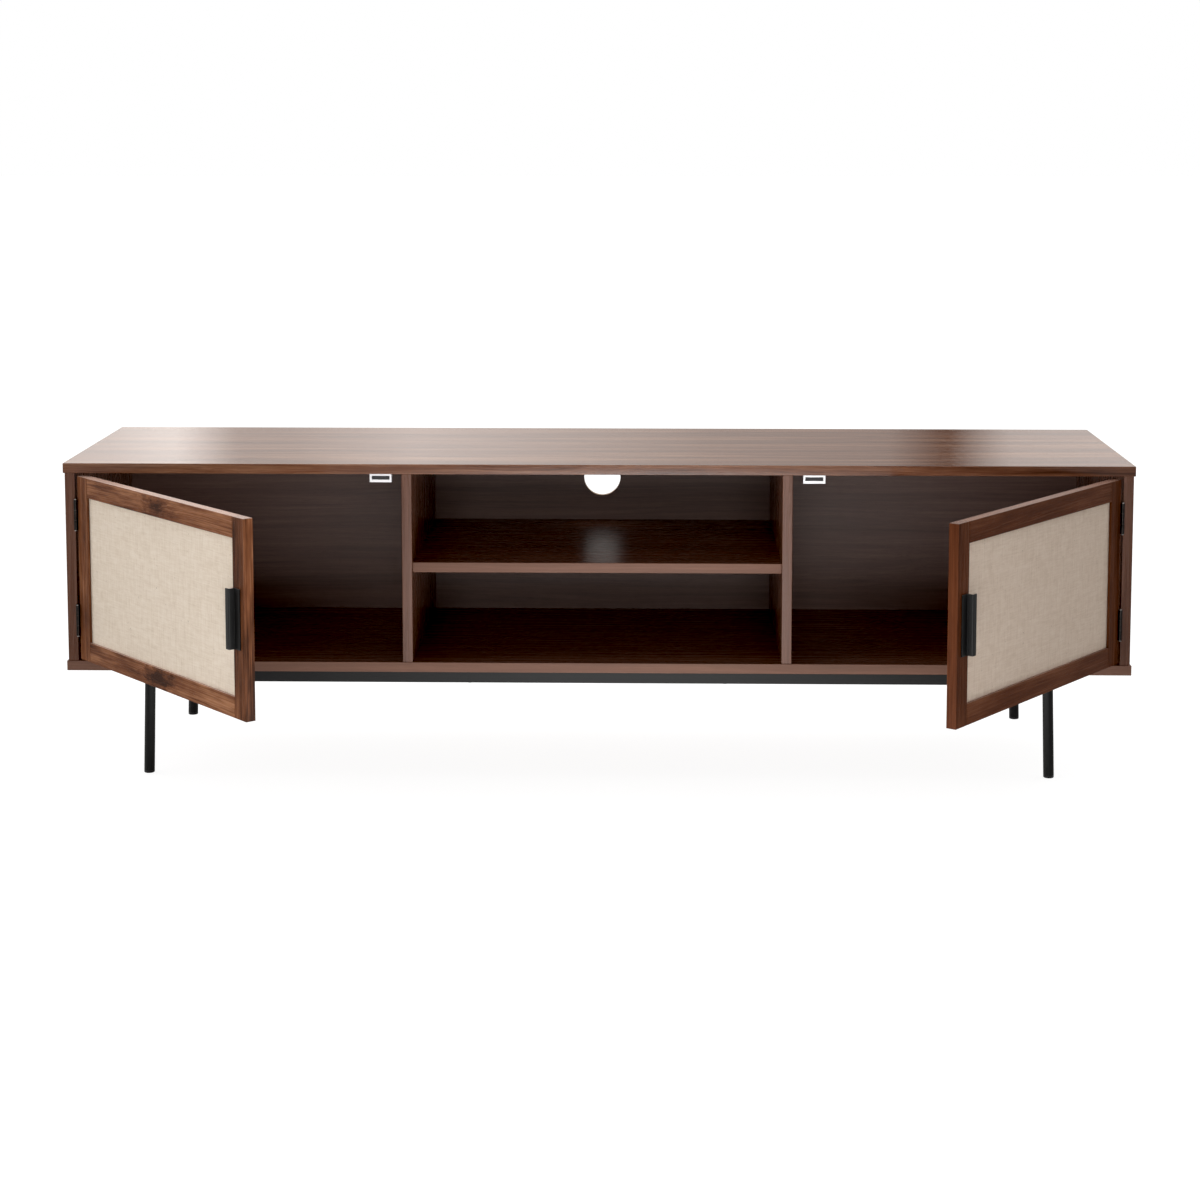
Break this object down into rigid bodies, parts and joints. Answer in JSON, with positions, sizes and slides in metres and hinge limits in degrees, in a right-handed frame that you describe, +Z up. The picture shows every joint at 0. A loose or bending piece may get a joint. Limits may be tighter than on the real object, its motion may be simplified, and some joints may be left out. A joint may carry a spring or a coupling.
{
  "type": "tv stand with doors",
  "caption": "Low walnut-faced television stand with framed linen doors on butt hinges, an open middle bay with a shelf, a cable hole in the back and a black steel tube base.",
  "frame": {"origin": "middle of the floor rectangle under the whole stand, with both doors part open as stored", "axes": "+X to the right along the width, +Y to the back (the doors are on the -Y side), +Z up"},
  "size_m": [1.6, 0.8012, 0.48],
  "materials": {
    "walnut_board": "satin walnut facing on particle board, long grain along the width",
    "walnut_frame": "satin walnut, warmer than the boards, grain along each bar",
    "linen": "undyed plain-weave linen with slubs, stretched and glued down",
    "door_backing": "smooth faced fibreboard",
    "black_coat": "matt black powder coat on steel",
    "glide_plastic": "matt black",
    "hinge_steel": "dull grey plating",
    "bright_steel": "bright zinc plating",
    "catch_aluminium": "satin silver",
    "magnet_ferrite": "matt sintered ferrite"
  },
  "bodies": {
    "carcass": {"top_panel": "walnut_board", "bottom_panel": "walnut_board", "left_side_panel": "walnut_board", "right_side_panel": "walnut_board", "left_divider": "walnut_board", "right_divider": "walnut_board", "middle_shelf": "walnut_board", "back_panel": "walnut_board", "shelf_peg_left_front": "bright_steel", "shelf_peg_left_rear": "bright_steel", "shelf_peg_right_front": "bright_steel", "shelf_peg_right_rear": "bright_steel", "base_front_rail": "black_coat", "base_rear_rail": "black_coat", "base_left_rail": "black_coat", "base_right_rail": "black_coat", "leg_front_left": "black_coat", "leg_rear_left": "black_coat", "leg_front_right": "black_coat", "leg_rear_right": "black_coat", "foot_glide_front_left": "glide_plastic", "foot_glide_rear_left": "glide_plastic", "foot_glide_front_right": "glide_plastic", "foot_glide_rear_right": "glide_plastic", "left_catch_housing": "catch_aluminium", "left_catch_magnet": "magnet_ferrite", "right_catch_housing": "catch_aluminium", "right_catch_magnet": "magnet_ferrite", "left_door_hinge_side_leaf_upper": "hinge_steel", "left_door_hinge_pin_upper": "bright_steel", "left_door_hinge_side_leaf_lower": "hinge_steel", "left_door_hinge_pin_lower": "bright_steel", "right_door_hinge_side_leaf_upper": "hinge_steel", "right_door_hinge_pin_upper": "bright_steel", "right_door_hinge_side_leaf_lower": "hinge_steel", "right_door_hinge_pin_lower": "bright_steel"},
    "left_door": {"left_door_hinge_stile": "walnut_frame", "left_door_handle_stile": "walnut_frame", "left_door_top_rail": "walnut_frame", "left_door_bottom_rail": "walnut_frame", "left_door_linen_panel": "linen", "left_door_backing_board": "door_backing", "left_door_handle": "black_coat", "left_door_handle_screw_lower": "bright_steel", "left_door_handle_screw_upper": "bright_steel", "left_door_strike_plate": "catch_aluminium", "left_door_hinge_door_leaf_upper": "hinge_steel", "left_door_hinge_door_leaf_lower": "hinge_steel"},
    "right_door": {"right_door_hinge_stile": "walnut_frame", "right_door_handle_stile": "walnut_frame", "right_door_top_rail": "walnut_frame", "right_door_bottom_rail": "walnut_frame", "right_door_linen_panel": "linen", "right_door_backing_board": "door_backing", "right_door_handle": "black_coat", "right_door_handle_screw_lower": "bright_steel", "right_door_handle_screw_upper": "bright_steel", "right_door_strike_plate": "catch_aluminium", "right_door_hinge_door_leaf_upper": "hinge_steel", "right_door_hinge_door_leaf_lower": "hinge_steel"}
  },
  "joints": [
    {"name": "left_door_swing", "type": "hinge", "parent": "carcass", "child": "left_door", "pos_m": [-0.78125, -0.0114, 0.3215], "axis": [0, 0, -1], "range_deg": [-50, 120]},
    {"name": "right_door_swing", "type": "hinge", "parent": "carcass", "child": "right_door", "pos_m": [0.78125, -0.0114, 0.3215], "axis": [0, 0, 1], "range_deg": [-53.5, 116.5]}
  ]
}
